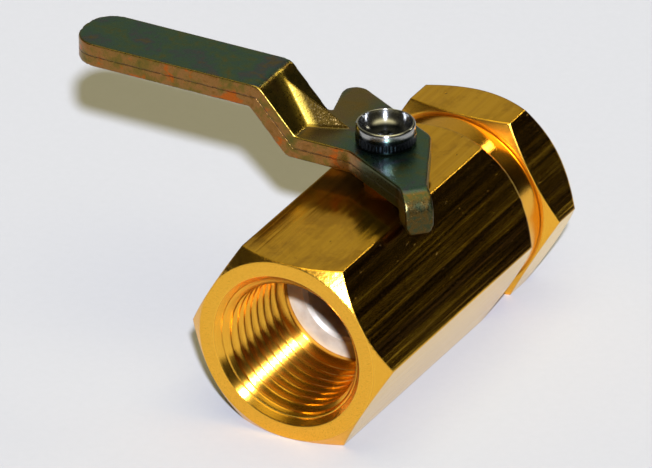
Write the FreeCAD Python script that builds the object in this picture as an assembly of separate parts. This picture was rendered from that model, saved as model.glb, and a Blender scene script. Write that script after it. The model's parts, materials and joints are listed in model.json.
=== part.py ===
"""Hexagonal brass ball valve, 1/2 inch female threads at both ends, with a stamped steel lever.

Frame: millimetres, +Z up. The origin is on the bottom flat of the hexagon, straight below the
stem. The flow axis runs along Y at height AXIS_Z, and the stem axis is the Z axis. The valve is
shut: the lever points along -X, across the flow, and the ball's bore lies along X.
"""
import FreeCAD, Part
import math
import os

Vector = FreeCAD.Vector

# ---------------------------------------------------------------- driving dimensions
ACROSS_FLATS = 27.0                       # hexagon bar of the body and of the end cap
CORNER_R = ACROSS_FLATS / math.sqrt(3.0)  # centre to corner of the hexagon
AXIS_Z = ACROSS_FLATS / 2.0               # flow axis above the bottom flat
TOP_FLAT_Z = ACROSS_FLATS

INLET_Y = -28.4                # near end face of the body
NECK_START_Y = 16.0            # where the body's hexagon ends in a turned neck
NECK_R = 13.1
SHOULDER_LENGTH = 2.85         # axial length of the cone from the hexagon's corners to the neck
BODY_END_Y = 20.15             # far end face of the body
OUTLET_Y = 28.0                # far end face of the end cap
CAP_GAP = 0.15                 # joint line between the body and the cap's hexagon
END_CIRCLE_R = 13.45           # turned circle on every end face of the hexagons
FACE_CHAMFER = 1.9             # axial length of the end chamfers at the corners
CAP_FRONT_CHAMFER = 0.95
CAP_END_CHAMFER = 2.3

THREAD_MAJOR_R = 20.955 / 2.0  # G 1/2 pipe thread, 14 turns per inch
MOUTH_R = 11.35                # countersink at each mouth
THREAD_DEPTH = 15.9            # from the inlet face to the end of its thread
OUTLET_THREAD_DEPTH = 14.6
THREAD_RUN_OUT = 0.7           # last stretch, where the bore narrows to the lip
LIP_R = 9.1                    # lip between the thread and the seat pocket

BALL_R = 10.2
BALL_BORE_R = 5.8
CAVITY_R = 10.5                # bore that holds the ball and the seats
SEAT_BACK_Y = 11.7             # seats press against lips this far from the stem axis
SEAT_FRONT_Y = 6.6
SEAT_BORE_R = 6.2
SEAT_BEVEL = 0.5               # at the mouth of each seat's bore
SEAT_CLEARANCE = 0.04          # between the ball and the seats' spherical faces

CAP_THREAD_R = 12.0            # M24 thread between the body and the end cap
CAP_NOSE_R = 10.9              # stepped nose of the cap, inside its O-ring
CAP_NOSE_LENGTH = 1.3
FIT = 0.03                     # radial play of parts that are screwed or pushed together

STEM_R = 3.04
STEM_HOLE_R = 3.1
STEM_FLANGE_R = 4.0
STEM_FLANGE_Z = (23.8, 24.6)   # blow-out-proof flange, under the body's top wall
STEM_POCKET_R = 4.2
STEM_POCKET_Z = 25.2
STEM_GROOVE_Z = (25.45, 26.55)
STEM_GROOVE_R = 2.1
STEM_DRIVE_FLATS = 4.4         # double-D that turns the lever
STEM_END_R = 2.4
STEM_END_Z = 33.0
STEM_END_BEVEL = 0.3
TANG_THICKNESS = 2.8           # blade that turns the ball
TANG_WIDTH = 6.8
TANG_BOTTOM_Z = 20.6
BALL_SLOT_WIDTH = 3.0
BALL_SLOT_Z = 20.4

PLATE = 3.4                    # lever plate thickness
HUB_BOTTOM_Z = 28.9
HUB_TOP_Z = HUB_BOTTOM_Z + PLATE
GRIP_TOP_Z = 38.6
ARM_WIDTH = 9.3
ARM_TIP_X = -47.2
ARM_TIP_CORNER_R = 3.9
LOWER_BEND_X = -11.6           # top surface crease at the hub
UPPER_BEND_X = -17.3           # top surface crest at the grip
BEND_INNER_R = 0.8
BEND_OUTER_R = 1.8
EAR_ANGLE = math.radians(-45)  # the near ear; the far ear is opposite
EAR_HALF_WIDTH = 2.0
EAR_TIP_R = 16.7               # far ear, stem axis to tip
HUB_CORNER = (4.6, 4.6)
HUB_CORNER_R = 3.0
ARM_FRONT_X = -3.2             # where the arm's front edge turns into the near ear
ARM_BACK_X = -10.9             # where the far ear turns into the arm's back edge
TAB_INNER_R = 13.0             # bent stop tab, stem axis to its inner face
TAB_BOTTOM_Z = 26.0
TAB_END_RISE = 0.5             # the tab's end slants up towards its outer face
TAB_END_FLAT = 1.0             # part of the tab's end, next to its inner face, that stays level
DART_Y = 1.0                   # pressed stiffening dart across the lower bend
DART_HALF_WIDTH = 2.2
DART_TOP = (-16.6, 37.9)
DART_FOOT_X = -5.9
DART_KEEL = 1.0                # how far the dart's solid reaches into the plate

RETAINER_R = 4.2
RETAINER_TOP_Z = 35.4
RETAINER_RIM_R = 3.75
RETAINER_RIM_WIDTH = 0.15
RETAINER_SHOULDER = 0.5        # height of the rounded shoulder
RETAINER_DISH_Z = 33.35        # lowest point of the dished top


# ---------------------------------------------------------------- helpers
def revolve(points, axis="y", base=None):
    """Solid of revolution from (radius, place along the axis) points, closed back to the first."""
    if axis == "y":
        vectors = [Vector(r, along, AXIS_Z) for r, along in points]
        origin, direction = Vector(0, 0, AXIS_Z), Vector(0, 1, 0)
    else:
        vectors = [Vector(r, 0, along) for r, along in points]
        origin, direction = Vector(0, 0, 0), Vector(0, 0, 1)
    face = Part.Face(Part.makePolygon(vectors + vectors[:1]))
    return face.revolve(origin, direction, 360)


def hexagon(y_low, y_high):
    corners = []
    for k in range(7):
        angle = math.radians(60 * k)
        corners.append(Vector(CORNER_R * math.cos(angle), y_low, AXIS_Z + CORNER_R * math.sin(angle)))
    return Part.Face(Part.makePolygon(corners)).extrude(Vector(0, y_high - y_low, 0))


def turned_hexagon(y_low, y_high, low_chamfer, high_chamfer):
    """Hexagon bar whose corners are turned down to END_CIRCLE_R at both ends."""
    outside = CORNER_R + 1.0
    grow = (outside - END_CIRCLE_R) / (CORNER_R - END_CIRCLE_R)
    profile = [
        (0, y_low),
        (END_CIRCLE_R, y_low),
        (outside, y_low + low_chamfer * grow),
        (outside, y_high - high_chamfer * grow),
        (END_CIRCLE_R, y_high),
        (0, y_high),
    ]
    return hexagon(y_low, y_high).common(revolve(profile))


def cylinder_z(radius, z_low, z_high):
    return Part.makeCylinder(radius, z_high - z_low, Vector(0, 0, z_low))


def o_ring_y(ring_r, section_r, y):
    return Part.makeTorus(ring_r, section_r, Vector(0, y, AXIS_Z), Vector(0, 1, 0))


def port_profile(face_y, lip_y, depth, inward):
    """Countersunk mouth, thread bore and lip, from the end face to the seat pocket."""
    countersink = MOUTH_R - THREAD_MAJOR_R
    return [
        (0, face_y - inward),
        (MOUTH_R + 1.0, face_y - inward),
        (THREAD_MAJOR_R, face_y + inward * countersink),
        (THREAD_MAJOR_R, face_y + inward * (depth - THREAD_RUN_OUT)),
        (LIP_R, face_y + inward * depth),
        (LIP_R, lip_y),
        (0, lip_y),
    ]


# ---------------------------------------------------------------- body and end cap
def make_body():
    shell = turned_hexagon(INLET_Y, NECK_START_Y, FACE_CHAMFER, SHOULDER_LENGTH)
    neck = [
        (0, NECK_START_Y - 1),
        (NECK_R, NECK_START_Y - 1),
        (NECK_R, BODY_END_Y),
        (0, BODY_END_Y),
    ]
    shell = shell.fuse(revolve(neck)).removeSplitter()
    shell = shell.cut(revolve(port_profile(INLET_Y, -SEAT_BACK_Y, THREAD_DEPTH, 1)))
    pocket = [
        (0, -SEAT_BACK_Y),
        (CAVITY_R, -SEAT_BACK_Y),
        (CAVITY_R, SEAT_BACK_Y),
        (CAP_THREAD_R, SEAT_BACK_Y),
        (CAP_THREAD_R, BODY_END_Y + 1),
        (0, BODY_END_Y + 1),
    ]
    shell = shell.cut(revolve(pocket))
    shell = shell.cut(cylinder_z(STEM_HOLE_R, AXIS_Z, TOP_FLAT_Z + 1))
    return shell.cut(cylinder_z(STEM_POCKET_R, AXIS_Z, STEM_POCKET_Z))


def make_end_cap():
    cap = turned_hexagon(BODY_END_Y + CAP_GAP, OUTLET_Y, CAP_FRONT_CHAMFER, CAP_END_CHAMFER)
    spigot_r = CAP_THREAD_R - FIT
    start = SEAT_BACK_Y + FIT
    spigot = [
        (0, start),
        (CAP_NOSE_R, start),
        (CAP_NOSE_R, start + CAP_NOSE_LENGTH),
        (spigot_r, start + CAP_NOSE_LENGTH),
        (spigot_r, BODY_END_Y + CAP_GAP + 1),
        (0, BODY_END_Y + CAP_GAP + 1),
    ]
    cap = cap.fuse(revolve(spigot)).removeSplitter()
    return cap.cut(revolve(port_profile(OUTLET_Y, start - 1, OUTLET_THREAD_DEPTH, -1)))


def make_end_cap_o_ring():
    section = (CAP_THREAD_R - CAP_NOSE_R) / 2 - FIT
    middle = (CAP_THREAD_R + CAP_NOSE_R) / 2
    return o_ring_y(middle, section, SEAT_BACK_Y + FIT + CAP_NOSE_LENGTH / 2)


# ---------------------------------------------------------------- ball, seats and stem
def make_ball():
    ball = Part.makeSphere(BALL_R, Vector(0, 0, AXIS_Z))
    bore = Part.makeCylinder(BALL_BORE_R, 4 * BALL_R, Vector(-2 * BALL_R, 0, AXIS_Z), Vector(1, 0, 0))
    slot = Part.makeBox(BALL_SLOT_WIDTH, 4 * BALL_R, BALL_R,
                        Vector(-BALL_SLOT_WIDTH / 2, -2 * BALL_R, BALL_SLOT_Z))
    return ball.cut(bore).cut(slot)


def make_seat(side):
    """PTFE ring between a lip and the ball; side is -1 at the inlet and +1 at the outlet."""
    back = side * SEAT_BACK_Y
    front = side * SEAT_FRONT_Y
    profile = [
        (SEAT_BORE_R + SEAT_BEVEL, back),
        (CAVITY_R - FIT, back),
        (CAVITY_R - FIT, front),
        (SEAT_BORE_R, front),
        (SEAT_BORE_R, back - side * SEAT_BEVEL),
    ]
    dish = Part.makeSphere(BALL_R + SEAT_CLEARANCE, Vector(0, 0, AXIS_Z))
    return revolve(profile).cut(dish)


def make_stem():
    low, high = STEM_FLANGE_Z
    groove_low, groove_high = STEM_GROOVE_Z
    profile = [
        (0, low),
        (STEM_FLANGE_R, low),
        (STEM_FLANGE_R, high),
        (STEM_R, high),
        (STEM_R, groove_low),
        (STEM_GROOVE_R, groove_low),
        (STEM_GROOVE_R, groove_high),
        (STEM_R, groove_high),
        (STEM_R, HUB_TOP_Z),
        (STEM_END_R, HUB_TOP_Z),
        (STEM_END_R, STEM_END_Z - STEM_END_BEVEL),
        (STEM_END_R - STEM_END_BEVEL, STEM_END_Z),
        (0, STEM_END_Z),
    ]
    stem = revolve(profile, axis="z")
    for side in (-1, 1):
        y_low = STEM_DRIVE_FLATS / 2 if side > 0 else -STEM_DRIVE_FLATS / 2 - STEM_R
        flat = Part.makeBox(2 * STEM_R + 2, STEM_R, HUB_TOP_Z - HUB_BOTTOM_Z,
                            Vector(-STEM_R - 1, y_low, HUB_BOTTOM_Z))
        stem = stem.cut(flat)
    tang = Part.makeBox(TANG_THICKNESS, TANG_WIDTH, low - TANG_BOTTOM_Z,
                        Vector(-TANG_THICKNESS / 2, -TANG_WIDTH / 2, TANG_BOTTOM_Z))
    return stem.fuse(tang).removeSplitter()


def make_stem_thrust_washer():
    low = STEM_FLANGE_Z[1] + 0.02
    high = STEM_POCKET_Z - 0.02
    return cylinder_z(STEM_POCKET_R - 0.1, low, high).cut(cylinder_z(STEM_HOLE_R, low, high))


def make_stem_o_ring():
    outer = STEM_HOLE_R - 0.02
    section = (outer - STEM_GROOVE_R) / 2 - 0.01
    return Part.makeTorus(outer - section, section, Vector(0, 0, sum(STEM_GROOVE_Z) / 2))


# ---------------------------------------------------------------- lever
def cross_edges(strip, *places):
    """The strip's edges that run across it at the given places along X."""
    found = []
    for edge in strip.Edges:
        middle = edge.CenterOfMass
        if abs(middle.y) < 0.01 and any(abs(middle.x - x) < 0.01 for x in places):
            found.append(edge)
    return found


def bent_strip():
    """Side outline of grip, slant and hub strip, extruded over the arm's width."""
    drop = GRIP_TOP_Z - HUB_TOP_Z
    slope = math.atan2(drop, LOWER_BEND_X - UPPER_BEND_X)
    shift = PLATE * math.tan(slope / 2)  # the underside's corners lie further out by this
    outline = [
        Vector(ARM_TIP_X - 1, 0, GRIP_TOP_Z),
        Vector(UPPER_BEND_X, 0, GRIP_TOP_Z),
        Vector(LOWER_BEND_X, 0, HUB_TOP_Z),
        Vector(0, 0, HUB_TOP_Z),
        Vector(0, 0, HUB_BOTTOM_Z),
        Vector(LOWER_BEND_X - shift, 0, HUB_BOTTOM_Z),
        Vector(UPPER_BEND_X - shift, 0, GRIP_TOP_Z - PLATE),
        Vector(ARM_TIP_X - 1, 0, GRIP_TOP_Z - PLATE),
    ]
    face = Part.Face(Part.makePolygon(outline + outline[:1]))
    strip = face.extrude(Vector(0, ARM_WIDTH, 0))
    strip.translate(Vector(0, -ARM_WIDTH / 2, 0))
    strip = strip.makeFillet(BEND_OUTER_R, cross_edges(strip, UPPER_BEND_X, LOWER_BEND_X - shift))
    return strip.makeFillet(BEND_INNER_R, cross_edges(strip, LOWER_BEND_X, UPPER_BEND_X - shift))


def arm_outline():
    """Plan of the arm, with its rounded tip."""
    half = ARM_WIDTH / 2
    block = Part.makeBox(-ARM_TIP_X, ARM_WIDTH, 20, Vector(ARM_TIP_X, -half, HUB_BOTTOM_Z - 1))
    tips = [e for e in block.Edges
            if abs(e.CenterOfMass.x - ARM_TIP_X) < 0.01 and abs(e.CenterOfMass.y) > half - 0.01]
    return block.makeFillet(ARM_TIP_CORNER_R, tips)


def polar(radius, angle):
    return radius * math.cos(angle), radius * math.sin(angle)


def tangent_point(outside, centre, radius, side):
    """Where a line from the point outside touches the circle, on the side given by +1 or -1."""
    dx, dy = outside[0] - centre[0], outside[1] - centre[1]
    distance = math.hypot(dx, dy)
    turn = side * math.acos(radius / distance)
    angle = math.atan2(dy, dx) + turn
    return centre[0] + radius * math.cos(angle), centre[1] + radius * math.sin(angle)


def hub_plate():
    """Hub with its two ears in plan; the near ear ends square, where its tab bends down."""
    half = ARM_WIDTH / 2
    far_centre = polar(EAR_TIP_R - EAR_HALF_WIDTH, EAR_ANGLE + math.pi)
    far_tip = polar(EAR_TIP_R, EAR_ANGLE + math.pi)
    along = Vector(math.cos(EAR_ANGLE), math.sin(EAR_ANGLE), 0)
    across = Vector(-along.y, along.x, 0)
    near_right = along * TAB_INNER_R + across * EAR_HALF_WIDTH
    near_left = along * TAB_INNER_R - across * EAR_HALF_WIDTH
    arm_front = (ARM_FRONT_X, -half)
    arm_back = (ARM_BACK_X, half)
    right_touch = tangent_point(HUB_CORNER, far_centre, EAR_HALF_WIDTH, 1)
    left_touch = tangent_point(arm_back, far_centre, EAR_HALF_WIDTH, -1)

    def point(p):
        return Vector(p[0], p[1], HUB_BOTTOM_Z)

    lift = Vector(0, 0, HUB_BOTTOM_Z)
    edges = [
        Part.LineSegment(point((LOWER_BEND_X, -half)), point(arm_front)),
        Part.LineSegment(point(arm_front), near_left + lift),
        Part.LineSegment(near_left + lift, near_right + lift),
        Part.LineSegment(near_right + lift, point(HUB_CORNER)),
        Part.LineSegment(point(HUB_CORNER), point(right_touch)),
        Part.Arc(point(right_touch), point(far_tip), point(left_touch)),
        Part.LineSegment(point(left_touch), point(arm_back)),
        Part.LineSegment(point(arm_back), point((LOWER_BEND_X, half))),
        Part.LineSegment(point((LOWER_BEND_X, half)), point((LOWER_BEND_X, -half))),
    ]
    wire = Part.Wire([e.toShape() for e in edges])
    plate = Part.Face(wire).extrude(Vector(0, 0, PLATE))
    corner_edges = []
    for edge in plate.Edges:
        middle = edge.CenterOfMass
        upright = abs(middle.z - (HUB_BOTTOM_Z + HUB_TOP_Z) / 2) < 0.01
        if upright and math.hypot(middle.x - HUB_CORNER[0], middle.y - HUB_CORNER[1]) < 0.01:
            corner_edges.append(edge)
    return plate.makeFillet(HUB_CORNER_R, corner_edges)


def stop_tab():
    """Tab at the near ear, bent straight down, with a rounded and slanted end."""
    outer = TAB_INNER_R + PLATE
    width = 2 * EAR_HALF_WIDTH
    inside = 0.6
    a = Vector(TAB_INNER_R - inside, 0, HUB_TOP_Z)
    b = Vector(TAB_INNER_R, 0, HUB_TOP_Z)
    middle = Vector(TAB_INNER_R + PLATE * math.sin(math.pi / 4), 0,
                    HUB_BOTTOM_Z + PLATE * math.cos(math.pi / 4))
    c = Vector(outer, 0, HUB_BOTTOM_Z)
    d = Vector(outer, 0, TAB_BOTTOM_Z + TAB_END_RISE)
    e = Vector(TAB_INNER_R + TAB_END_FLAT, 0, TAB_BOTTOM_Z)
    f = Vector(TAB_INNER_R, 0, TAB_BOTTOM_Z)
    g = Vector(TAB_INNER_R, 0, HUB_BOTTOM_Z)
    h = Vector(TAB_INNER_R - inside, 0, HUB_BOTTOM_Z)
    edges = [Part.LineSegment(a, b).toShape(), Part.Arc(b, middle, c).toShape()]
    for start, end in ((c, d), (d, e), (e, f), (f, g), (g, h), (h, a)):
        edges.append(Part.LineSegment(start, end).toShape())
    tab = Part.Face(Part.Wire(edges)).extrude(Vector(0, width, 0))
    tab.translate(Vector(0, -EAR_HALF_WIDTH, 0))
    tongue = Part.makeBox(PLATE + 2, width, 20,
                          Vector(TAB_INNER_R - 1, -EAR_HALF_WIDTH, TAB_BOTTOM_Z + EAR_HALF_WIDTH))
    tip = Part.makeCylinder(EAR_HALF_WIDTH, PLATE + 2,
                            Vector(TAB_INNER_R - 1, 0, TAB_BOTTOM_Z + EAR_HALF_WIDTH), Vector(1, 0, 0))
    tab = tab.common(tongue.fuse(tip))
    tab.rotate(Vector(0, 0, 0), Vector(0, 0, 1), math.degrees(EAR_ANGLE))
    return tab


def dart(sink):
    """Pressed dart over the lower bend; sink moves it down, for the hollow under the plate."""
    top = Vector(DART_TOP[0], DART_Y, DART_TOP[1] - sink)
    foot = Vector(DART_FOOT_X, DART_Y, HUB_TOP_Z - sink)
    front = Vector(LOWER_BEND_X, DART_Y - DART_HALF_WIDTH, HUB_TOP_Z - sink)
    back = Vector(LOWER_BEND_X, DART_Y + DART_HALF_WIDTH, HUB_TOP_Z - sink)
    keel = Vector(LOWER_BEND_X - DART_KEEL, DART_Y, HUB_TOP_Z - DART_KEEL - sink)
    corners = ((top, front, foot), (top, foot, back), (top, keel, front), (top, back, keel),
               (foot, front, keel), (foot, keel, back))
    faces = [Part.Face(Part.makePolygon([p, q, r, p])) for p, q, r in corners]
    solid = Part.Solid(Part.Shell(faces))
    if solid.Volume < 0:
        solid.reverse()
    return solid


def make_lever():
    arm = bent_strip().common(arm_outline())
    lever = arm.fuse([hub_plate(), stop_tab()]).removeSplitter()
    lever = lever.fuse(dart(0.0)).cut(dart(PLATE)).removeSplitter()
    across = STEM_DRIVE_FLATS + 0.06
    hole = cylinder_z(STEM_R + 0.03, HUB_BOTTOM_Z - 1, HUB_TOP_Z + 1)
    hole = hole.common(Part.makeBox(20, across, 20, Vector(-10, -across / 2, HUB_BOTTOM_Z - 5)))
    return lever.cut(hole)


def make_lever_retainer():
    """Round push-on cap over the stem's end, with a deep dished top."""
    inner = STEM_END_R + 0.02
    bottom = HUB_TOP_Z + 0.02
    shoulder_z = RETAINER_TOP_Z - RETAINER_SHOULDER
    rim_outer = RETAINER_RIM_R + RETAINER_RIM_WIDTH
    outside = RETAINER_R - rim_outer
    rounding = Vector(rim_outer + outside * math.sin(math.pi / 4), 0,
                      shoulder_z + RETAINER_SHOULDER * math.cos(math.pi / 4))
    depth = RETAINER_TOP_Z - RETAINER_DISH_Z
    dish_r = (RETAINER_RIM_R ** 2 + depth ** 2) / (2 * depth)
    half_turn = math.asin(RETAINER_RIM_R / dish_r) / 2
    dish = Vector(dish_r * math.sin(half_turn), 0, RETAINER_DISH_Z + dish_r * (1 - math.cos(half_turn)))
    corners = [
        Vector(0, 0, RETAINER_DISH_Z),
        Vector(0, 0, STEM_END_Z + 0.02),
        Vector(inner, 0, STEM_END_Z + 0.02),
        Vector(inner, 0, bottom),
        Vector(RETAINER_R, 0, bottom),
        Vector(RETAINER_R, 0, shoulder_z),
    ]
    edges = [Part.LineSegment(p, q).toShape() for p, q in zip(corners, corners[1:])]
    shoulder_end = Vector(rim_outer, 0, RETAINER_TOP_Z)
    rim = Vector(RETAINER_RIM_R, 0, RETAINER_TOP_Z)
    edges.append(Part.Arc(corners[-1], rounding, shoulder_end).toShape())
    edges.append(Part.LineSegment(shoulder_end, rim).toShape())
    edges.append(Part.Arc(rim, dish, corners[0]).toShape())
    return Part.Face(Part.Wire(edges)).revolve(Vector(0, 0, 0), Vector(0, 0, 1), 360)


# ---------------------------------------------------------------- export
NODES = {
    "body": make_body,
    "end_cap": make_end_cap,
    "end_cap_o_ring": make_end_cap_o_ring,
    "ball": make_ball,
    "seat_inlet": lambda: make_seat(-1),
    "seat_outlet": lambda: make_seat(1),
    "stem": make_stem,
    "stem_thrust_washer": make_stem_thrust_washer,
    "stem_o_ring": make_stem_o_ring,
    "lever": make_lever,
    "lever_retainer": make_lever_retainer,
}

os.makedirs("parts", exist_ok=True)
for name, make in NODES.items():
    shape = make()
    if not shape.Solids or not shape.isValid():
        raise RuntimeError(name + " isn't a valid solid")
    print("%-20s solids %d volume %.1f" % (name, len(shape.Solids), shape.Volume))
    shape.exportStep("parts/" + name + ".step")
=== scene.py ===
"""Looks of the ball valve: finishes, threads, a rounded lever and a notched retainer on the CAD frame."""
import json
import math

import bpy
from mathutils import Matrix, Vector


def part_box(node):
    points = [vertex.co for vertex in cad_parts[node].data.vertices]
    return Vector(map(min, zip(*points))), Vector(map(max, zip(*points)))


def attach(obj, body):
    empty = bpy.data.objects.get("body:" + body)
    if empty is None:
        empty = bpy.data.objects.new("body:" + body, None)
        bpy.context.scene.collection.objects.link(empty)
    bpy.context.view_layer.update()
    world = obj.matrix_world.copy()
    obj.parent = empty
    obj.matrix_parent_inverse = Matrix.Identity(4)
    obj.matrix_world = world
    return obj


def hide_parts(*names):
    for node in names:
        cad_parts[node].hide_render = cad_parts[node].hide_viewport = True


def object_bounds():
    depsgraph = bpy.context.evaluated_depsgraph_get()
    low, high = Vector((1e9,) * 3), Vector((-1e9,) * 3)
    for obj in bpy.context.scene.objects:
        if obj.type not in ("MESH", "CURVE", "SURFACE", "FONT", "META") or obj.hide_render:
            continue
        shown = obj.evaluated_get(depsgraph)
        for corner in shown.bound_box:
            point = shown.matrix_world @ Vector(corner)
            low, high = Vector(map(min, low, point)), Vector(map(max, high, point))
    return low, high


MM = 0.001

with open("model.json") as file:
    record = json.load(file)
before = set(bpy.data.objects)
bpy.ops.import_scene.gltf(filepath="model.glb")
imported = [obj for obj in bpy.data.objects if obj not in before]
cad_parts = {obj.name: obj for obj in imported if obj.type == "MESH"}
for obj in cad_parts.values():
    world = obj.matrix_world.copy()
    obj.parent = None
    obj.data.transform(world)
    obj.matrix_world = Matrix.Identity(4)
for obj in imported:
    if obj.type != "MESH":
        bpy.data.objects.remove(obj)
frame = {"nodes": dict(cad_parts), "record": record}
cad_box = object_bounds()

# ---------------------------------------------------------------- camera
CAMERA_AZIMUTH = math.radians(29.09)     # from straight in front of the inlet, round to the right
CAMERA_ELEVATION = math.radians(28.85)
CAMERA_ROLL = math.radians(-0.45)
CAMERA_DISTANCE = 2.0646
CAMERA_LENS = 829.6
CAMERA_SENSOR = 36.0
AIM_FROM_CENTRE = Vector((6.0, 0.8, -4.2)) * MM

# ---------------------------------------------------------------- light
KEY_AZIMUTH = math.radians(31.0)
KEY_ELEVATION = math.radians(34.0)
KEY_STRENGTH = 8.7
KEY_COLOUR = (0.76, 0.81, 1.0)
KEY_ANGLE = math.radians(2.2)

# ---------------------------------------------------------------- sizes read from the frame
port = {m["name"]: m for m in frame["record"]["mounts"]}["inlet_port"]
AXIS_Z = port["pos_m"][2]                # flow axis above the floor
THREAD_MAJOR_R = port["dims"]["r_mm"] * MM
INLET_FACE_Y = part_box("body")[0].y
OUTLET_FACE_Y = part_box("end_cap")[1].y
THREAD_PITCH = 25.4 / 14 * MM            # 14 turns per inch
THREAD_HEIGHT = 0.640327 * THREAD_PITCH  # 55 degree pipe thread
MOUTH_R = THREAD_MAJOR_R + 0.8725 * MM   # countersink at the end face
THREAD_END = {1: 15.5 * MM, -1: 14.2 * MM}   # depth where the last turn runs out, inlet and outlet
FLAT_CROWN = 0.0024                      # how much the drawn flats are crowned, per millimetre

# In millimetres, for the materials, which work in millimetres from the flow axis or the frame's origin.
BORE_OR_NECK_R = 13.3                    # faces nearer the flow axis than this get the turned finish
CHAMFER_R = 12.9                         # cones outside this radius get the chamfers' finish
NECK_R = 12.5                            # turned walls outside this radius get the neck's finish
NEAR_CHAMFER_Y = -20.0                   # the inlet's chamfer lies on the -Y side of this
DART_TOP = (-16.6, 1.0)                  # top of the pressed dart
DART_FACING = (-0.40, -0.92)             # level direction away from the dart's near side
SLANT_X = -5.5                           # the lever's slant lies on the -X side of this
# Where one finish fades into the next: along X - Y on the near ear, X on the arm, Z on the retainer.
EAR_START, TAB_START = (2.5, 7.0), (16.5, 18.0)
CREASE_START, CREASE_END, FLECKS_START = (-12.5, -11.0), (-9.0, -3.5), (-11.5, -8.0)
NOTCHED_BAND_END, RIM_HIGHLIGHT_RISE, DISH_RISE = (33.9, 34.3), (34.3, 34.7), (33.6, 34.0)
RIM_HIGHLIGHT_INNER, DISH_R = (2.6, 3.2), 3.74     # distances from the stem axis

# ---------------------------------------------------------------- lever and retainer
PLATE = 3.4 * MM
HUB_TOP_Z = 32.3 * MM
EAR_BOTTOM_Z = 28.7 * MM                 # only the stop tab is lower
UPPER_BEND_X, LOWER_BEND_X = -17.6 * MM, -11.9 * MM
TAB_INNER_R = 13.0 * MM
EAR_ANGLE = math.radians(-45)
LEVER_VOXEL = 0.2 * MM
LEVER_RELAX_PASSES = 6
NOTCHES = 44
POINTS_PER_NOTCH = 6
NOTCH_DEPTH = 0.09 * MM
RIM_FULLNESS, DISH_FULLNESS = 0.45, 1.25   # how square the dish is at its rim and how flat at its middle

# ---------------------------------------------------------------- floor and world
FLOOR_RADIUS, FLOOR_SIDES = 5.0, 96
ROOM_LOW, ROOM_HIGH = (0.012, 0.011, 0.008, 1.0), (0.07, 0.065, 0.045, 1.0)
BACKDROP = (0.80, 0.81, 0.83, 1.0)       # what the camera sees past the floor
# towards, outer degrees, inner degrees, colour
PALE_WALL = ((-0.50, 0.74, 0.45), 38, 12, (0.38, 0.36, 0.24, 1.0))
OVERHEAD_PANEL = ((0.10, -0.02, 0.99), 38, 18, (2.4, 2.15, 1.25, 1.0))
SMALL_LAMP = ((0.205, 0.765, 0.61), 4, 2, (14.0, 13.0, 10.0, 1.0))


# ---------------------------------------------------------------- node helpers
def new_material(name):
    material = bpy.data.materials.new(name)
    material.use_nodes = True
    tree = material.node_tree
    shader = tree.nodes["Principled BSDF"]
    return material, tree, shader


def add(tree, kind, inputs=(), **settings):
    """A node with its settings, and its inputs given as (name or number, value or socket)."""
    made = tree.nodes.new(kind)
    for key, value in settings.items():
        setattr(made, key, value)
    for key, value in inputs:
        put(tree, made.inputs[key], value)
    return made


def put(tree, socket, value):
    if isinstance(value, bpy.types.NodeSocket):
        tree.links.new(value, socket)
    else:
        socket.default_value = value


def calc(tree, operation, a, b=0.0):
    return add(tree, "ShaderNodeMath", ((0, a), (1, b)), operation=operation).outputs[0]


def times(tree, a, b):
    return calc(tree, "MULTIPLY", a, b)


def inverse(tree, value):
    """1 where the mask is 0, and 0 where it is 1."""
    return calc(tree, "SUBTRACT", 1.0, value)


def smooth(tree, value, low, high):
    """0 below low, 1 above high, smooth between."""
    made = add(tree, "ShaderNodeMapRange", (("Value", value), ("From Min", low), ("From Max", high)),
               interpolation_type="SMOOTHSTEP")
    return made.outputs["Result"]


def remap(tree, value, low, high, to_low, to_high):
    made = add(tree, "ShaderNodeMapRange", (("Value", value), ("From Min", low), ("From Max", high),
                                            ("To Min", to_low), ("To Max", to_high)))
    return made.outputs["Result"]


def mix_values(tree, factor, a, b):
    made = add(tree, "ShaderNodeMix", data_type="FLOAT")
    put(tree, made.inputs["Factor"], factor)
    put(tree, made.inputs[2], a)
    put(tree, made.inputs[3], b)
    return made.outputs[0]


def blend(tree, factor, a, b, mode="MIX"):
    made = add(tree, "ShaderNodeMix", data_type="RGBA", blend_type=mode)
    put(tree, made.inputs["Factor"], factor)
    put(tree, made.inputs[6], a)
    put(tree, made.inputs[7], b)
    return made.outputs[2]


def ramp(tree, factor, stops):
    made = add(tree, "ShaderNodeValToRGB", (("Fac", factor),))
    points = made.color_ramp.elements
    while len(points) < len(stops):
        points.new(1.0)
    for point, (place, colour) in zip(points, stops):
        point.position = place
        point.color = (*colour, 1.0)
    return made.outputs["Color"]


def noise(tree, vector, scale, detail=3.0, roughness=0.55, distortion=0.0):
    made = add(tree, "ShaderNodeTexNoise", (("Vector", vector), ("Scale", scale), ("Detail", detail),
                                            ("Roughness", roughness), ("Distortion", distortion)))
    return made.outputs["Fac"]


def stretched(tree, vector, scale):
    made = add(tree, "ShaderNodeVectorMath", ((0, vector), (1, scale)), operation="MULTIPLY")
    return made.outputs[0]


def millimetres(tree):
    """Place in the part's frame in millimetres, and the surface's direction there."""
    coords = add(tree, "ShaderNodeTexCoord")
    return stretched(tree, coords.outputs["Object"], (1000, 1000, 1000)), coords.outputs["Normal"]


def parts_of(tree, vector):
    return add(tree, "ShaderNodeSeparateXYZ", (("Vector", vector),)).outputs


def joined(tree, x, y, z):
    made = add(tree, "ShaderNodeCombineXYZ", (("X", x), ("Y", y), ("Z", z)))
    return made.outputs[0]


def length_of(tree, a, b):
    return calc(tree, "SQRT", calc(tree, "ADD", times(tree, a, a), times(tree, b, b)))


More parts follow.
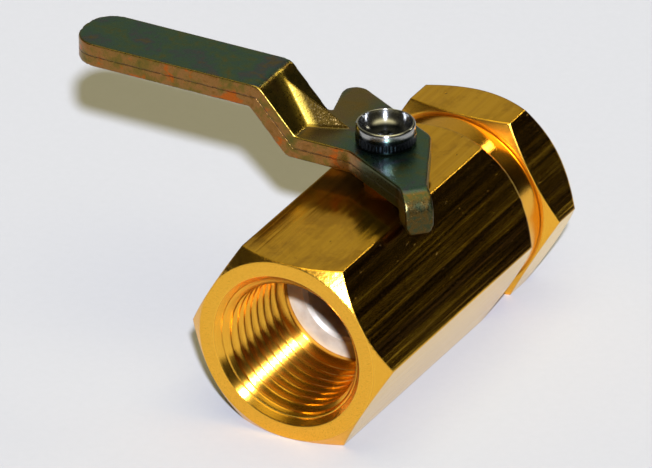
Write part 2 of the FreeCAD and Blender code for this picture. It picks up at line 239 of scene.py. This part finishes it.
def edge_mask(tree, radius_mm, low=0.02, high=0.25):
    """1 on edges sharper than the given radius, from the difference to a rounded normal."""
    rounded = add(tree, "ShaderNodeBevel", (("Radius", radius_mm * MM),), samples=6).outputs[0]
    flat = add(tree, "ShaderNodeNewGeometry").outputs["Normal"]
    dot = add(tree, "ShaderNodeVectorMath", ((0, rounded), (1, flat)), operation="DOT_PRODUCT")
    off = inverse(tree, dot.outputs["Value"])
    return smooth(tree, off, low, high)


def stretch_highlights(tree, shader, grooves, strength):
    """Highlights drawn out across grooves that run along the given direction."""
    along = add(tree, "ShaderNodeVectorTransform", (("Vector", grooves),), vector_type="VECTOR",
                convert_from="OBJECT", convert_to="WORLD").outputs[0]
    put(tree, shader.inputs["Tangent"], along)
    put(tree, shader.inputs["Anisotropic"], strength)
    shader.inputs["Anisotropic Rotation"].default_value = 0.25


def relief(tree, shader, layers, edge_mm=None):
    """Bump layers of (height socket, depth in millimetres, strength), over softened edges."""
    normal = None
    if edge_mm:
        normal = add(tree, "ShaderNodeBevel", (("Radius", edge_mm * MM),), samples=8).outputs[0]
    for height, depth, strength in layers:
        bump = add(tree, "ShaderNodeBump", (("Height", height), ("Distance", depth * MM),
                                            ("Strength", strength)))
        if normal is not None:
            put(tree, bump.inputs["Normal"], normal)
        normal = bump.outputs[0]
    put(tree, shader.inputs["Normal"], normal)


# ---------------------------------------------------------------- brass
def brass(name, seed, painted_streak_strength):
    """Drawn hexagon bar: tarnish blotches on crowned flats, dark streaks painted on the upper side flats
    as a painted dark reflection, downward flats painted paler as a painted reflection of the floor,
    turning marks on every turned face.
    """
    material, tree, shader = new_material(name)
    place, facing = millimetres(tree)
    place = add(tree, "ShaderNodeVectorMath", ((0, place), (1, (0, 0, -AXIS_Z / MM)))).outputs[0]
    x, y, z = parts_of(tree, place)
    radius = length_of(tree, x, z)
    along = calc(tree, "ABSOLUTE", parts_of(tree, facing)[1])
    turned = calc(tree, "MAXIMUM", smooth(tree, along, 0.04, 0.12),
                  calc(tree, "LESS_THAN", radius, BORE_OR_NECK_R))
    drawn = inverse(tree, turned)
    end_face = smooth(tree, along, 0.90, 0.97)
    chamfer = times(tree, smooth(tree, along, 0.35, 0.5), inverse(tree, end_face))
    chamfer = times(tree, chamfer, calc(tree, "GREATER_THAN", radius, CHAMFER_R))
    near_chamfer = times(tree, chamfer, calc(tree, "LESS_THAN", y, NEAR_CHAMFER_Y))
    upward = parts_of(tree, facing)[2]
    upper_sides = times(tree, smooth(tree, upward, 0.30, 0.45),
                        inverse(tree, smooth(tree, upward, 0.60, 0.80)))
    painted_pale_lower_sides = inverse(tree, smooth(tree, upward, -0.30, 0.0))

    sixth = math.pi / 3
    angle = calc(tree, "ARCTAN2", z, x)
    off_centre = calc(tree, "SUBTRACT", calc(tree, "FLOORED_MODULO", angle, sixth), sixth / 2)
    across = times(tree, radius, calc(tree, "SINE", off_centre))
    crown = times(tree, calc(tree, "POWER", calc(tree, "ABSOLUTE", across), 2.0), -FLAT_CROWN)

    shifted = add(tree, "ShaderNodeVectorMath", ((0, place), (1, (seed, seed, seed)))).outputs[0]
    bands = noise(tree, stretched(tree, shifted, (0.55, 0.010, 0.55)), 1.0, 3.0, 0.55)
    lines = noise(tree, stretched(tree, shifted, (1.0, 0.014, 1.0)), 1.5, 3.0, 0.55)
    streaks = noise(tree, stretched(tree, shifted, (1.0, 0.020, 1.0)), 0.62, 4.0, 0.6, 0.15)
    fine = noise(tree, stretched(tree, shifted, (1.0, 0.06, 1.0)), 13.0, 3.0, 0.6)
    rings = noise(tree, joined(tree, radius, y, seed), 5.5, 5.0, 0.7)
    ring_grain = noise(tree, joined(tree, radius, y, seed), 26.0, 2.0, 0.6)
    grain = noise(tree, shifted, 9.0, 3.0, 0.6)
    blotch = noise(tree, stretched(tree, shifted, (1.0, 0.6, 1.0)), 0.30, 5.0, 0.62, 0.5)
    specks = noise(tree, stretched(tree, shifted, (1.0, 0.45, 1.0)), 1.9, 2.0, 0.5)
    pits = times(tree, smooth(tree, specks, 0.73, 0.78), drawn)
    chatter = noise(tree, shifted, 1.3, 2.0, 0.55)

    flat_colour = blend(tree, smooth(tree, lines, 0.36, 0.60), (0.82, 0.43, 0.022, 1.0),
                        (0.92, 0.50, 0.032, 1.0))
    tarnish = times(tree, smooth(tree, blotch, 0.43, 0.68), 0.55)
    flat_colour = blend(tree, tarnish, flat_colour, (0.45, 0.21, 0.010, 1.0))
    # Painted dark reflection: streaks and shading towards the flats' edges, only on the upper side flats.
    painted_streak_shade = times(tree, smooth(tree, streaks, 0.44, 0.56), painted_streak_strength)
    painted_streak_shade = calc(tree, "MAXIMUM", painted_streak_shade, times(tree, smooth(tree, across, 3.0, 6.5), 0.6))
    flat_colour = blend(tree, times(tree, painted_streak_shade, upper_sides), flat_colour,
                        (0.15, 0.055, 0.004, 1.0))
    # Painted reflection: flats facing downwards are painted paler and less orange, for the bright floor
    # they reflect.
    flat_colour = blend(tree, painted_pale_lower_sides, flat_colour, (0.88, 0.56, 0.070, 1.0))
    turned_colour = blend(tree, smooth(tree, grain, 0.35, 0.65), (0.85, 0.42, 0.036, 1.0),
                          (0.94, 0.50, 0.052, 1.0))
    colour = blend(tree, turned, flat_colour, turned_colour)
    colour = blend(tree, times(tree, pits, 0.8), colour, (0.10, 0.05, 0.012, 1.0))
    worn = edge_mask(tree, 0.20)
    colour = blend(tree, times(tree, worn, 0.25), colour, (1.0, 0.72, 0.25, 1.0))
    put(tree, shader.inputs["Base Color"], colour)
    shader.inputs["Metallic"].default_value = 1.0

    flat_rough = remap(tree, lines, 0.3, 0.7, 0.12, 0.21)
    face_rough = remap(tree, grain, 0.3, 0.7, 0.26, 0.36)
    bore_rough = remap(tree, rings, 0.3, 0.7, 0.19, 0.25)
    rough = mix_values(tree, end_face, bore_rough, face_rough)
    neck = times(tree, calc(tree, "GREATER_THAN", radius, NECK_R),
                 inverse(tree, smooth(tree, along, 0.1, 0.3)))
    rough = mix_values(tree, neck, rough, 0.13)
    rough = mix_values(tree, chamfer, rough, 0.25)
    put(tree, shader.inputs["Roughness"], mix_values(tree, turned, flat_rough, rough))
    unit_x, unit_z = calc(tree, "DIVIDE", x, radius), calc(tree, "DIVIDE", z, radius)
    plain = calc(tree, "MAXIMUM", end_face, chamfer)
    grooved = times(tree, turned, inverse(tree, plain))
    stretch_highlights(tree, shader, joined(tree, unit_z, 0.0, times(tree, unit_x, -1.0)),
                       times(tree, grooved, 0.95))

    layers = (
        (times(tree, crown, drawn), 1.0, 1.0),
        (times(tree, bands, drawn), 0.10, 1.0),
        (times(tree, lines, drawn), 0.004, 1.0),
        (times(tree, fine, drawn), 0.0005, 1.0),
        (times(tree, rings, turned), 0.003, 1.0),
        (times(tree, ring_grain, turned), 0.0025, 1.0),
        (times(tree, grain, turned), 0.0035, 1.0),
        (times(tree, chatter, near_chamfer), 0.06, 1.0),
        (times(tree, pits, -1.0), 0.03, 1.0),
    )
    relief(tree, shader, layers, edge_mm=0.45)
    return material


def stem_brass():
    """Turned brass of the stem, rings round the Z axis."""
    material, tree, shader = new_material("stem_turned_brass")
    place, _ = millimetres(tree)
    x, y, z = parts_of(tree, place)
    radius = length_of(tree, x, y)
    rings = noise(tree, joined(tree, radius, z, 3.0), 9.0, 4.0, 0.65)
    stain = noise(tree, place, 0.6, 3.0)
    colour = blend(tree, smooth(tree, rings, 0.3, 0.65), (0.62, 0.36, 0.08, 1.0), (0.88, 0.58, 0.18, 1.0))
    colour = blend(tree, times(tree, smooth(tree, stain, 0.5, 0.75), 0.5),
                   colour, (0.30, 0.16, 0.05, 1.0))
    put(tree, shader.inputs["Base Color"], colour)
    shader.inputs["Metallic"].default_value = 1.0
    put(tree, shader.inputs["Roughness"], remap(tree, rings, 0.3, 0.7, 0.22, 0.40))
    relief(tree, shader, ((rings, 0.012, 1.0),), edge_mm=0.1)
    return material


# ---------------------------------------------------------------- ball, seats and seals
def satin_chrome():
    """Plated ball with fine polishing marks and faint water stains."""
    material, tree, shader = new_material("ball_satin_chrome")
    place, _ = millimetres(tree)
    marks = noise(tree, stretched(tree, place, (0.4, 0.4, 6.0)), 3.0, 4.0, 0.6)
    stain = noise(tree, place, 0.35, 4.0, 0.6, 0.6)
    colour = blend(tree, smooth(tree, stain, 0.35, 0.7), (0.62, 0.58, 0.57, 1.0), (0.46, 0.41, 0.39, 1.0))
    colour = blend(tree, times(tree, smooth(tree, marks, 0.55, 0.8), 0.35),
                   colour, (0.74, 0.71, 0.68, 1.0))
    put(tree, shader.inputs["Base Color"], colour)
    shader.inputs["Metallic"].default_value = 1.0
    put(tree, shader.inputs["Roughness"], remap(tree, marks, 0.3, 0.7, 0.34, 0.46))
    relief(tree, shader, ((marks, 0.006, 1.0),), edge_mm=0.25)
    return material


def ptfe():
    """Waxy white seat plastic with turning marks round the flow axis."""
    material, tree, shader = new_material("seat_ptfe")
    place, _ = millimetres(tree)
    x, y, z = parts_of(tree, place)
    radius = length_of(tree, x, calc(tree, "SUBTRACT", z, AXIS_Z / MM))
    rings = noise(tree, joined(tree, radius, y, 1.0), 7.0, 3.0, 0.6)
    cloud = noise(tree, place, 0.5, 3.0)
    colour = blend(tree, smooth(tree, cloud, 0.3, 0.75), (0.42, 0.38, 0.29, 1.0), (0.32, 0.28, 0.21, 1.0))
    put(tree, shader.inputs["Base Color"], colour)
    put(tree, shader.inputs["Roughness"], remap(tree, rings, 0.3, 0.7, 0.34, 0.48))
    shader.inputs["Subsurface Weight"].default_value = 0.3
    shader.inputs["Subsurface Radius"].default_value = (0.6 * MM, 0.55 * MM, 0.5 * MM)
    shader.inputs["Subsurface Scale"].default_value = 1.0
    relief(tree, shader, ((rings, 0.010, 1.0),), edge_mm=0.15)
    return material


def nitrile():
    """Black seal rubber with a faint greasy bloom."""
    material, tree, shader = new_material("seal_nitrile")
    place, _ = millimetres(tree)
    grain = noise(tree, place, 9.0, 3.0)
    bloom = noise(tree, place, 0.9, 3.0)
    colour = blend(tree, smooth(tree, bloom, 0.4, 0.75), (0.012, 0.012, 0.013, 1.0),
                   (0.05, 0.05, 0.048, 1.0))
    put(tree, shader.inputs["Base Color"], colour)
    put(tree, shader.inputs["Roughness"], remap(tree, grain, 0.3, 0.7, 0.40, 0.62))
    relief(tree, shader, ((grain, 0.008, 1.0),))
    return material


# ---------------------------------------------------------------- lever and retainer finishes
def dart_tone(tree, from_dart, x, mottle):
    """Side of the pressed dart: a painted highlight in a golden tone beside the slant, painted shade
    towards its ridge, flecks at its foot.
    """
    # Painted highlight next to the slant, fading to painted shade deeper on the dart's side.
    gold = blend(tree, smooth(tree, from_dart, -1.3, -0.1), (0.022, 0.013, 0.002, 1.0),
                 (0.30, 0.20, 0.03, 1.0))
    flecks = times(tree, smooth(tree, mottle, 0.58, 0.68), smooth(tree, x, *FLECKS_START))
    return blend(tree, flecks, gold, (0.16, 0.10, 0.03, 1.0))


def zinc_chromate():
    """Iridescent zinc plating: blue-green flats with olive rims, coppery sheared sides, a golden slant
    partly painted as shade and highlight, and an underside painted dark as shade.
    """
    material, tree, shader = new_material("lever_zinc_chromate")
    place, facing = millimetres(tree)
    up = parts_of(tree, facing)[2]
    layer = add(tree, "ShaderNodeAttribute", attribute_name="plate_depth").outputs["Fac"]

    cloud = noise(tree, place, 0.22, 4.0, 0.6, 0.7)
    cloud_small = noise(tree, place, 1.1, 4.0, 0.6, 0.5)
    mottle = noise(tree, place, 4.5, 3.0, 0.6)
    patches = noise(tree, stretched(tree, place, (1.0, 1.0, 1.6)), 0.34, 3.0, 0.5, 0.4)
    tint = calc(tree, "ADD", times(tree, cloud, 0.7), times(tree, cloud_small, 0.3))
    flats = ramp(tree, tint, (
        (0.34, (0.13, 0.12, 0.035)),
        (0.43, (0.075, 0.13, 0.075)),
        (0.51, (0.055, 0.125, 0.105)),
        (0.58, (0.075, 0.095, 0.125)),
        (0.66, (0.14, 0.11, 0.045)),
    ))
    sides = ramp(tree, tint, (
        (0.34, (0.12, 0.10, 0.02)),
        (0.44, (0.20, 0.125, 0.025)),
        (0.53, (0.30, 0.14, 0.040)),
        (0.62, (0.22, 0.10, 0.020)),
        (0.70, (0.10, 0.095, 0.03)),
    ))
    # The slant's dim olive-gold tone: partly plating tone, partly painted shade.
    slant = ramp(tree, tint, (
        (0.35, (0.11, 0.085, 0.012)),
        (0.52, (0.20, 0.135, 0.020)),
        (0.68, (0.15, 0.075, 0.014)),
    ))
    rust = (0.50, 0.10, 0.006, 1.0)
    sides = blend(tree, times(tree, smooth(tree, patches, 0.56, 0.68), 0.75), sides, rust)
    rims = times(tree, edge_mask(tree, 0.8, 0.004, 0.09), 0.75)
    flats = blend(tree, rims, flats, (0.13, 0.095, 0.022, 1.0))
    upward = smooth(tree, up, 0.86, 0.98)
    x, y, _ = parts_of(tree, place)
    tilted = times(tree, smooth(tree, up, 0.30, 0.50), calc(tree, "LESS_THAN", x, SLANT_X))
    from_dart = calc(tree, "ADD", times(tree, calc(tree, "SUBTRACT", x, DART_TOP[0]), DART_FACING[0]),
                     times(tree, calc(tree, "SUBTRACT", y, DART_TOP[1]), DART_FACING[1]))
    # Painted highlight: a golden strip on the slant along the dart's near side.
    beside_dart = times(tree, smooth(tree, from_dart, -0.8, -0.2),
                        inverse(tree, smooth(tree, from_dart, 0.2, 1.8)))
    painted_highlight_by_dart = times(tree, beside_dart, smooth(tree, mottle, 0.30, 0.60))
    slant = blend(tree, painted_highlight_by_dart, slant, (0.70, 0.50, 0.07, 1.0))
    dart_side = smooth(tree, times(tree, parts_of(tree, facing)[1], -1.0), 0.15, 0.40)
    slant = blend(tree, dart_side, slant, dart_tone(tree, from_dart, x, mottle))
    ear = calc(tree, "SUBTRACT", x, y)
    sides = blend(tree, smooth(tree, ear, *EAR_START), sides, (0.075, 0.085, 0.035, 1.0))
    tab = smooth(tree, ear, *TAB_START)
    tab_colour = blend(tree, smooth(tree, cloud_small, 0.35, 0.65), (0.048, 0.056, 0.024, 1.0),
                       (0.100, 0.060, 0.014, 1.0))
    tab_colour = blend(tree, smooth(tree, mottle, 0.64, 0.72), tab_colour, (0.32, 0.20, 0.06, 1.0))
    sides = blend(tree, tab, sides, tab_colour)
    colour = blend(tree, tilted, sides, slant)
    crease = times(tree, smooth(tree, x, *CREASE_START), inverse(tree, smooth(tree, x, *CREASE_END)))
    flats = blend(tree, times(tree, crease, 0.75), flats, (0.22, 0.13, 0.025, 1.0))
    colour = blend(tree, upward, colour, flats)
    # Painted shade: surfaces facing down are painted nearly black and made rough.
    below = inverse(tree, smooth(tree, up, -0.80, -0.40))
    colour = blend(tree, below, colour, (0.030, 0.016, 0.006, 1.0))

    wander = calc(tree, "ADD", 0.43, times(tree, cloud_small, 0.08))
    from_line = calc(tree, "ABSOLUTE", calc(tree, "SUBTRACT", layer, wander))
    shear = inverse(tree, smooth(tree, from_line, 0.005, 0.04))
    on_side = inverse(tree, smooth(tree, calc(tree, "ABSOLUTE", up), 0.2, 0.4))
    shear = times(tree, shear, on_side)
    shear_dark = times(tree, times(tree, shear, smooth(tree, cloud_small, 0.3, 0.6)), 0.6)
    colour = blend(tree, shear_dark, colour, (0.05, 0.03, 0.02, 1.0))
    colour = blend(tree, times(tree, smooth(tree, mottle, 0.52, 0.75), 0.30), colour,
                   (0.06, 0.05, 0.03, 1.0))
    put(tree, shader.inputs["Base Color"], colour)
    shader.inputs["Metallic"].default_value = 1.0
    put(tree, shader.inputs["Roughness"],
        mix_values(tree, below, remap(tree, mottle, 0.3, 0.7, 0.24, 0.38), 0.65))
    relief(tree, shader, ((mottle, 0.012, 1.0), (cloud_small, 0.04, 0.6),
                          (times(tree, shear, -1.0), 0.05, 1.0)))
    return material


def black_nickel():
    """Dark mirror plating of the retainer, with hair scratches, a rim painted light as a painted
    highlight, a notched band painted black as shade and a dish painted light grey as a painted reflection.
    """
    material, tree, shader = new_material("retainer_black_nickel")
    place, _ = millimetres(tree)
    x, y, z = parts_of(tree, place)
    radius = length_of(tree, x, y)
    hair = noise(tree, joined(tree, radius, z, 2.0), 12.0, 4.0, 0.7)
    haze = noise(tree, place, 1.1, 3.0)
    colour = blend(tree, smooth(tree, haze, 0.35, 0.7), (0.022, 0.026, 0.028, 1.0),
                   (0.045, 0.050, 0.050, 1.0))
    # Painted highlight: the top of the rim is painted light grey.
    rim = times(tree, smooth(tree, z, *RIM_HIGHLIGHT_RISE), smooth(tree, radius, *RIM_HIGHLIGHT_INNER))
    colour = blend(tree, times(tree, rim, 0.8), colour, (0.46, 0.46, 0.44, 1.0))
    # Painted shade: the notched band down by the lever plate is painted almost black.
    band = inverse(tree, smooth(tree, z, *NOTCHED_BAND_END))
    colour = blend(tree, band, colour, (0.010, 0.012, 0.014, 1.0))
    # Painted reflection: the inside of the dish is painted light grey for its silvery look.
    dish = times(tree, smooth(tree, z, *DISH_RISE), calc(tree, "LESS_THAN", radius, DISH_R))
    colour = blend(tree, times(tree, dish, 0.7), colour, (0.40, 0.40, 0.38, 1.0))
    put(tree, shader.inputs["Base Color"], colour)
    shader.inputs["Metallic"].default_value = 1.0
    put(tree, shader.inputs["Roughness"], remap(tree, hair, 0.3, 0.7, 0.16, 0.24))
    unit_x, unit_y = calc(tree, "DIVIDE", x, radius), calc(tree, "DIVIDE", y, radius)
    stretch_highlights(tree, shader, joined(tree, unit_y, times(tree, unit_x, -1.0), 0.0), 0.9)
    relief(tree, shader, ((hair, 0.003, 1.0), (haze, 0.02, 0.4)))
    return material


# ---------------------------------------------------------------- meshes
def mesh_piece(name, vertices, faces, material):
    mesh = bpy.data.meshes.new(name)
    mesh.from_pydata([tuple(v) for v in vertices], [], faces)
    mesh.validate()
    mesh.update()
    piece = bpy.data.objects.new(name, mesh)
    bpy.context.scene.collection.objects.link(piece)
    mesh.materials.append(material)
    mesh.polygons.foreach_set("use_smooth", [True] * len(mesh.polygons))
    return piece


def ring_grid(rows, columns, point, closed_rows):
    """Vertices and faces of a grid of rings; point(row, column) gives each place."""
    vertices = [point(i, j) for i in range(rows) for j in range(columns)]
    faces = []
    for i in range(rows if closed_rows else rows - 1):
        for j in range(columns):
            a, b = i * columns + j, i * columns + (j + 1) % columns
            c, d = ((i + 1) % rows) * columns + (j + 1) % columns, ((i + 1) % rows) * columns + j
            faces.append((a, b, c, d))
    return vertices, faces


def flip(piece):
    piece.data.flip_normals()


def pipe_thread(name, face_y, inward, material):
    """Helical turns of a right-handed pipe thread, as a closed shell sunk into the plain bore."""
    around = 144
    steps_per_pitch = 14
    start = MOUTH_R - THREAD_MAJOR_R - 0.04 * MM
    end = THREAD_END[inward]
    levels = round((end - start) / THREAD_PITCH * steps_per_pitch)
    back_r = THREAD_MAJOR_R + 0.08 * MM
    run_out = 0.7 * THREAD_PITCH

    def ridge(depth, turn):
        y = face_y + inward * depth
        phase = (y / THREAD_PITCH - turn) % 1.0
        saw = 1.0 - abs(2.0 * phase - 1.0)
        soft = 0.5 - 0.5 * math.cos(math.pi * saw)
        fade = min(1.0, max(0.0, (end - depth) / run_out))
        radius = THREAD_MAJOR_R - THREAD_HEIGHT * fade * (0.5 * saw + 0.5 * soft)
        return max(radius, MOUTH_R - depth)

    def point(i, j):
        turn = j / around
        angle = 2.0 * math.pi * turn
        if i <= levels:
            depth = start + (end - start) * i / levels
            radius = ridge(depth, turn)
        else:
            depth = end if i == levels + 1 else start
            radius = back_r
        return (radius * math.sin(angle), face_y + inward * depth, AXIS_Z + radius * math.cos(angle))

    vertices, faces = ring_grid(levels + 3, around, point, closed_rows=True)
    piece = mesh_piece(name, vertices, faces, material)
    if inward < 0:
        flip(piece)
    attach(piece, "housing")
    return piece


def copied_solid(name, node, voxel, passes):
    """Copy of a CAD node with its edges rounded: remeshed evenly, then relaxed."""
    piece = bpy.data.objects.new(name, frame["nodes"][node].data.copy())
    bpy.context.scene.collection.objects.link(piece)
    remesh = piece.modifiers.new("even", "REMESH")
    remesh.mode = "VOXEL"
    remesh.voxel_size = voxel
    relax = piece.modifiers.new("relax", "SMOOTH")
    relax.factor = 0.5
    relax.iterations = passes
    evaluated = piece.evaluated_get(bpy.context.evaluated_depsgraph_get())
    mesh = bpy.data.meshes.new_from_object(evaluated)
    piece.modifiers.clear()
    piece.data = mesh
    mesh.polygons.foreach_set("use_smooth", [True] * len(mesh.polygons))
    return piece


def lever_piece(material):
    """Stamped lever with rounded edges, and how deep each point lies in the plate for its finish."""
    piece = copied_solid("lever_rounded", "lever", LEVER_VOXEL, LEVER_RELAX_PASSES)
    piece.data.materials.clear()
    piece.data.materials.append(material)
    grip_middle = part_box("lever")[1].z - PLATE / 2
    hub_middle = HUB_TOP_Z - PLATE / 2
    upper_bend, lower_bend = Vector((UPPER_BEND_X, 0, grip_middle)), Vector((LOWER_BEND_X, 0, hub_middle))
    slope = (lower_bend - upper_bend).normalized()
    out = Vector((-slope.z, 0, slope.x))
    ear = Vector((math.cos(EAR_ANGLE), math.sin(EAR_ANGLE), 0))
    depth = piece.data.attributes.new("plate_depth", "FLOAT", "POINT")
    for vertex in piece.data.vertices:
        p = vertex.co
        along_ear = p.dot(ear)
        if p.x < upper_bend.x:
            height = p.z - grip_middle
        elif p.x < lower_bend.x:
            height = (p - upper_bend).dot(out)
        elif p.z < EAR_BOTTOM_Z:
            height = along_ear - (TAB_INNER_R + PLATE / 2)
        else:
            height = p.z - hub_middle
        depth.data[vertex.index].value = 0.5 + height / PLATE
    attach(piece, "handle")
    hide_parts("lever")
    return piece


def retainer_piece(material):
    """Push-on cap: finely notched lower band, smooth shoulder, thin rim and deep closed dish."""
    low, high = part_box("lever_retainer")
    outer = (high.x - low.x) / 2
    bottom, top = low.z, high.z
    around = NOTCHES * POINTS_PER_NOTCH
    band_top = bottom + 1.55 * MM
    neck = outer - 0.06 * MM
    rim = 3.75 * MM
    inner = 2.42 * MM
    shoulder = 0.5 * MM
    dish_depth = 1.95 * MM
    profile = [
        (inner, bottom + 0.66 * MM, 0), (inner, bottom, 0), (outer - 0.25 * MM, bottom, 0),
        (outer - 0.04 * MM, bottom + 0.12 * MM, 0), (outer, bottom + 0.35 * MM, 0),
        (outer, bottom + 0.60 * MM, 0), (outer, bottom + 0.70 * MM, 1), (outer, band_top - 0.25 * MM, 1),
        (outer - 0.05 * MM, band_top - 0.05 * MM, 0), (neck - 0.05 * MM, band_top + 0.06 * MM, 0),
        (neck, band_top + 0.18 * MM, 0), (neck, top - shoulder, 0),
    ]
    for step in range(1, 7):
        angle = math.pi / 2 * step / 6
        width = neck - rim - 0.10 * MM
        profile.append((neck - width * (1 - math.cos(angle)), top - shoulder * (1 - math.sin(angle)), 0))
    for step in range(0, 17):
        angle = math.pi / 2 * step / 16
        profile.append((rim * math.cos(angle) ** RIM_FULLNESS,
                        top - dish_depth * math.sin(angle) ** DISH_FULLNESS, 0))
    profile[-1] = (0.02 * MM, top - dish_depth, 0)
    profile.append((0.02 * MM, bottom + 0.68 * MM, 0))

    def point(i, j):
        r, z, notched = profile[i]
        angle = 2.0 * math.pi * j / around
        if notched:
            r -= NOTCH_DEPTH * (0.5 - 0.5 * math.cos(angle * NOTCHES)) ** 2
        return (r * math.cos(angle), r * math.sin(angle), z)

    vertices, faces = ring_grid(len(profile), around, point, closed_rows=True)
    piece = mesh_piece("lever_retainer_notched", vertices, faces, material)
    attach(piece, "handle")
    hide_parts("lever_retainer")
    return piece


# ---------------------------------------------------------------- finishes on the CAD nodes
body_brass = brass("body_drawn_brass", 0.0, 0.85)
cap_brass = brass("cap_drawn_brass", 11.0, 0.75)
finishes = {
    "body": body_brass,
    "end_cap": cap_brass,
    "ball": satin_chrome(),
    "seat_inlet": ptfe(),
    "stem": stem_brass(),
    "stem_o_ring": nitrile(),
}
finishes["seat_outlet"] = finishes["seat_inlet"]
finishes["stem_thrust_washer"] = finishes["seat_inlet"]
finishes["end_cap_o_ring"] = finishes["stem_o_ring"]
for node_name, finish in finishes.items():
    for material_slot in frame["nodes"][node_name].material_slots:
        material_slot.material = finish

pipe_thread("thread_inlet", INLET_FACE_Y, 1, body_brass)
pipe_thread("thread_outlet", OUTLET_FACE_Y, -1, cap_brass)
lever_piece(zinc_chromate())
retainer_piece(black_nickel())


# ---------------------------------------------------------------- floor, light and camera
def make_floor():
    angles = [2 * math.pi * k / FLOOR_SIDES for k in range(FLOOR_SIDES)]
    vertices = [(FLOOR_RADIUS * math.cos(angle), FLOOR_RADIUS * math.sin(angle), 0.0) for angle in angles]
    material, tree, shader = new_material("floor_paper")
    place, _ = millimetres(tree)
    fibre = noise(tree, place, 0.8, 3.0)
    paper = blend(tree, fibre, (0.41, 0.41, 0.41, 1.0), (0.43, 0.43, 0.43, 1.0))
    put(tree, shader.inputs["Base Color"], paper)
    shader.inputs["Roughness"].default_value = 0.9
    shader.inputs["Specular IOR Level"].default_value = 0.1
    floor = mesh_piece("floor", vertices, [tuple(range(FLOOR_SIDES))], material)


def make_world():
    """Dim room with a soft overhead panel, a pale wall behind on the left and a small lamp high behind."""
    world = bpy.data.worlds.new("studio")
    bpy.context.scene.world = world
    world.use_nodes = True
    tree = world.node_tree
    background = tree.nodes["Background"]
    toward = add(tree, "ShaderNodeTexCoord").outputs["Generated"]
    up = parts_of(tree, toward)[2]

    def patch(centre, outer, inner):
        """1 within inner degrees of a direction, 0 beyond outer degrees."""
        dot = add(tree, "ShaderNodeVectorMath", ((0, toward), (1, Vector(centre).normalized())),
                  operation="DOT_PRODUCT").outputs["Value"]
        return smooth(tree, dot, math.cos(math.radians(outer)), math.cos(math.radians(inner)))

    light = blend(tree, smooth(tree, up, 0.30, 0.75), ROOM_LOW, ROOM_HIGH)
    for towards, outer, inner, colour in (PALE_WALL, OVERHEAD_PANEL, SMALL_LAMP):
        light = blend(tree, patch(towards, outer, inner), light, colour)
    seen = add(tree, "ShaderNodeLightPath").outputs["Is Camera Ray"]
    put(tree, background.inputs["Color"], blend(tree, seen, light, BACKDROP))
    background.inputs["Strength"].default_value = 1.0


def direction(azimuth, elevation):
    """Unit vector towards a place at that azimuth and elevation, as the camera's angles are given."""
    return Vector((math.sin(azimuth) * math.cos(elevation), -math.cos(azimuth) * math.cos(elevation),
                   math.sin(elevation)))


def make_lights():
    key = bpy.data.objects.new("key", bpy.data.lights.new("key", "SUN"))
    key.data.energy = KEY_STRENGTH
    key.data.color = KEY_COLOUR
    key.data.angle = KEY_ANGLE
    key.rotation_mode = "QUATERNION"
    key.rotation_quaternion = direction(KEY_AZIMUTH, KEY_ELEVATION).to_track_quat("Z", "Y")
    bpy.context.scene.collection.objects.link(key)


def make_camera():
    camera = bpy.data.objects.new("camera", bpy.data.cameras.new("camera"))
    camera.data.lens = CAMERA_LENS
    camera.data.sensor_width = CAMERA_SENSOR
    camera.data.clip_start, camera.data.clip_end = 0.05, 50.0
    back = direction(CAMERA_AZIMUTH, CAMERA_ELEVATION)
    right = Vector((math.cos(CAMERA_AZIMUTH), math.sin(CAMERA_AZIMUTH), 0.0))
    up = back.cross(right)
    rolled_right = right * math.cos(CAMERA_ROLL) + up * math.sin(CAMERA_ROLL)
    rolled_up = up * math.cos(CAMERA_ROLL) - right * math.sin(CAMERA_ROLL)
    centre = (cad_box[0] + cad_box[1]) / 2
    rotation = Matrix((rolled_right, rolled_up, back)).transposed().to_4x4()
    camera.matrix_world = Matrix.Translation(centre + AIM_FROM_CENTRE + back * CAMERA_DISTANCE) @ rotation
    bpy.context.scene.collection.objects.link(camera)
    bpy.context.scene.camera = camera


make_floor()
make_world()
make_lights()
make_camera()
bpy.context.scene.view_settings.view_transform = "Standard"
